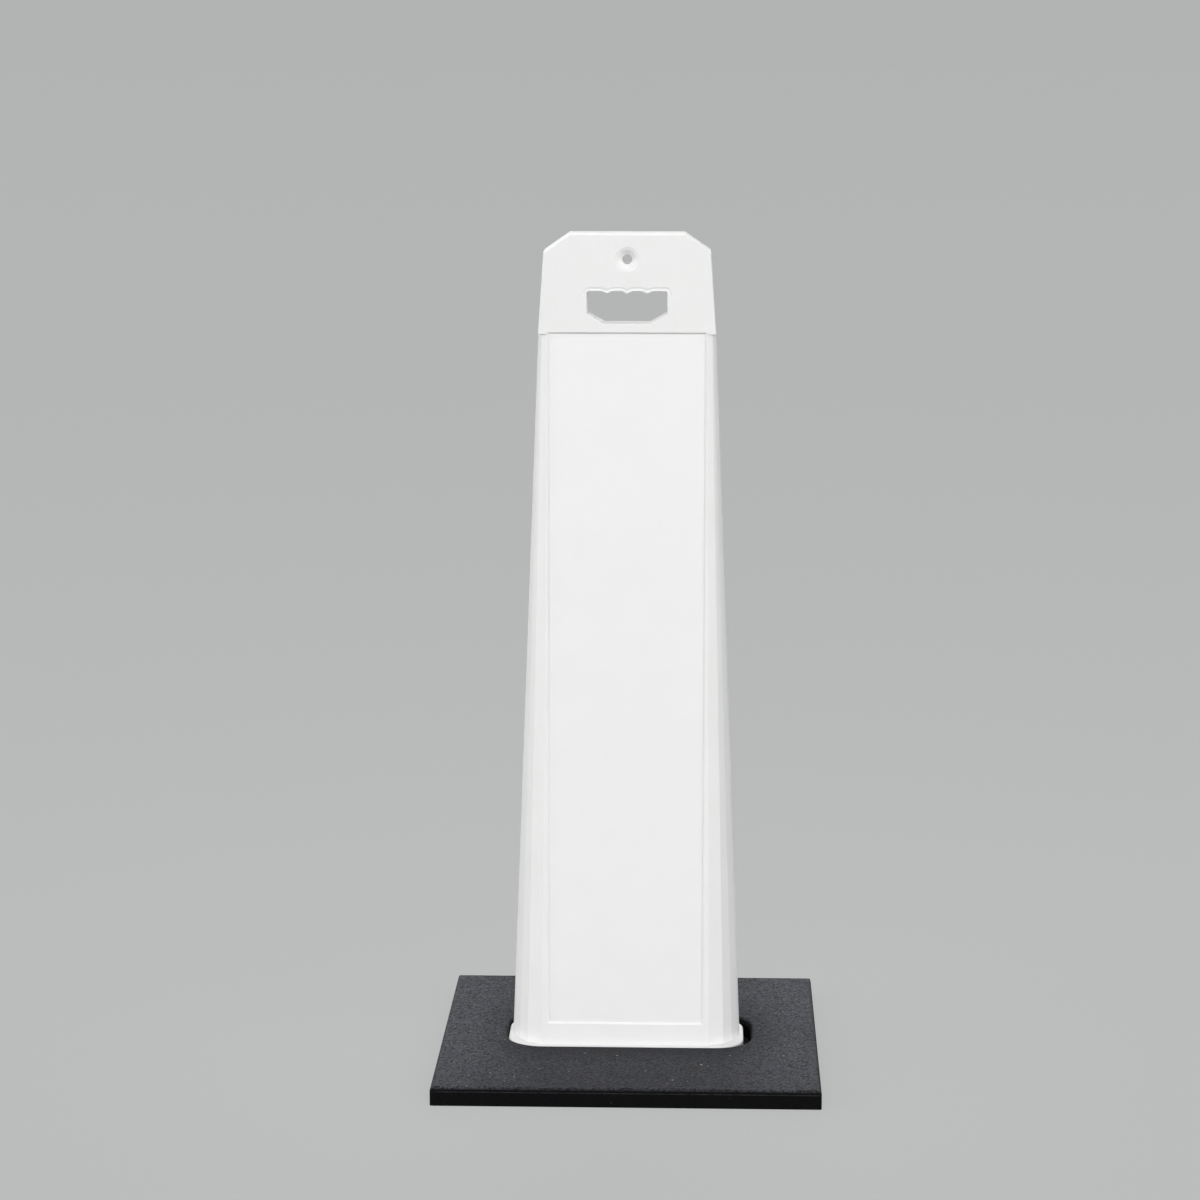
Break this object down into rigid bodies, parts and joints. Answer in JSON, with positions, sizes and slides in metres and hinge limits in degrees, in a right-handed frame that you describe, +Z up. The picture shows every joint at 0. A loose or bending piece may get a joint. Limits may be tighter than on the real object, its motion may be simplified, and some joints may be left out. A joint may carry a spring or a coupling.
{
  "type": "stand sign",
  "caption": "White hollow tapered road panel with blank sign faces, a finger-grip carry handle and a lamp bolt hole, standing in a square drop-over rubber ballast base.",
  "frame": {"origin": "on the ground, under the middle of the rubber base", "axes": "+Z up, the front of the sign faces -Y, +X to the right of someone reading the front"},
  "size_m": [0.508, 0.508, 1.112],
  "materials": {
    "panel_plastic": "satin moulded polyethylene",
    "sign_film": "smooth satin film",
    "crumb_rubber": "pressed crumb rubber with a fine grain"
  },
  "bodies": {
    "panel": {"front_shell": "panel_plastic", "rear_shell": "panel_plastic", "front_sign_sheet": "sign_film", "rear_sign_sheet": "sign_film"},
    "base": {"rubber_base": "crumb_rubber"}
  },
  "joints": [
    {"name": "base_lift", "type": "slide", "parent": "panel", "child": "base", "axis": [0, 0, 1], "range_m": [0, 1.15]}
  ]
}
